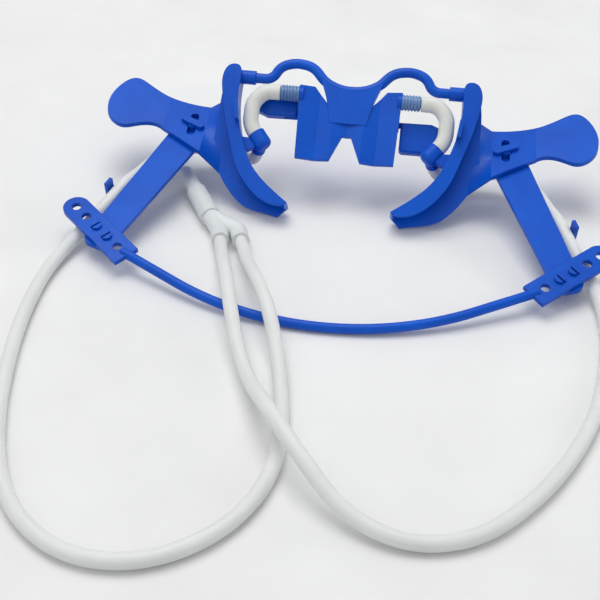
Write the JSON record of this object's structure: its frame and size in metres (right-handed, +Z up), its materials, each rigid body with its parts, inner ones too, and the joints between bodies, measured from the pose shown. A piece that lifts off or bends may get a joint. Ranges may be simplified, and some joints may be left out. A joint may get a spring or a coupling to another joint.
{
  "type": "cheek retractor",
  "caption": "Dry-field cheek retractor: spring bow, hinged lip channels, tongue guard with bite blocks and suction tubes.",
  "frame": {"origin": "where the middle of the spring bow touches the table", "axes": "+X to the right side across the two thumb pads, +Y from the bow back to the lip channels, +Z up"},
  "size_m": [0.1867, 0.2049, 0.043],
  "materials": {
    "blue_plastic": "moulded gloss",
    "pale_blue_plastic": "moulded, slightly clear",
    "white_silicone": "satin, translucent",
    "clear_tube": "clear soft PVC",
    "frosted_plastic": "frosted",
    "frosted_tube": "frosted"
  },
  "bodies": {
    "left_frame": {"bow": "blue_plastic", "left_bow_plate": "blue_plastic", "left_arm": "blue_plastic", "y_connector": "frosted_plastic", "suction_adaptor": "frosted_tube", "left_suction_tube": "clear_tube", "right_suction_tube": "clear_tube"},
    "right_frame": {"right_bow_plate": "blue_plastic", "right_arm": "blue_plastic"},
    "left_retractor": {"left_retractor": "blue_plastic", "left_coupler": "blue_plastic"},
    "guard": {"tongue_guard": "blue_plastic", "left_nozzle": "pale_blue_plastic", "right_nozzle": "pale_blue_plastic", "left_elbow_tube": "white_silicone", "right_elbow_tube": "white_silicone"},
    "right_retractor": {"right_retractor": "blue_plastic", "right_coupler": "blue_plastic"},
    "left_block": {"left_bite_block": "blue_plastic"},
    "right_block": {"right_bite_block": "blue_plastic"}
  },
  "joints": [
    {"name": "bow_flex", "type": "hinge", "parent": "left_frame", "child": "right_frame", "pos_m": [0, 0, 0.0016], "axis": [0, -0.2079, 0.9781], "range_deg": [-2, 4], "stiffness_Nm_per_rad": 3, "deforming": ["bow", "right_suction_tube"]},
    {"name": "left_pivot", "type": "hinge", "parent": "left_frame", "child": "left_retractor", "pos_m": [-0.057, 0.08588, 0.01986], "axis": [0, -0.2079, 0.9781], "range_deg": [-1.2, 2.2], "deforming": ["left_suction_tube"]},
    {"name": "guard_slide", "type": "slide", "parent": "left_retractor", "child": "guard", "axis": [1, 0, 0], "range_m": [-0.0034, 0.0018], "deforming": ["left_elbow_tube"]},
    {"name": "right_slide", "type": "slide", "parent": "guard", "child": "right_retractor", "axis": [1, 0, 0], "range_m": [-0.0034, 0.0018], "deforming": ["right_elbow_tube"]},
    {"name": "left_block_hinge", "type": "hinge", "parent": "guard", "child": "left_block", "pos_m": [-0.02, 0.08986, 0.02512], "axis": [1, 0, 0], "range_deg": [-175, 0]},
    {"name": "right_block_hinge", "type": "hinge", "parent": "guard", "child": "right_block", "pos_m": [0.02, 0.08986, 0.02512], "axis": [1, 0, 0], "range_deg": [0, 175]}
  ],
  "couplings": [
    {"joint": "left_pivot", "follows": "bow_flex", "ratio": 0.5},
    {"joint": "guard_slide", "follows": "bow_flex", "m_per_rad": -0.0439},
    {"joint": "right_slide", "follows": "bow_flex", "m_per_rad": -0.0439}
  ]
}
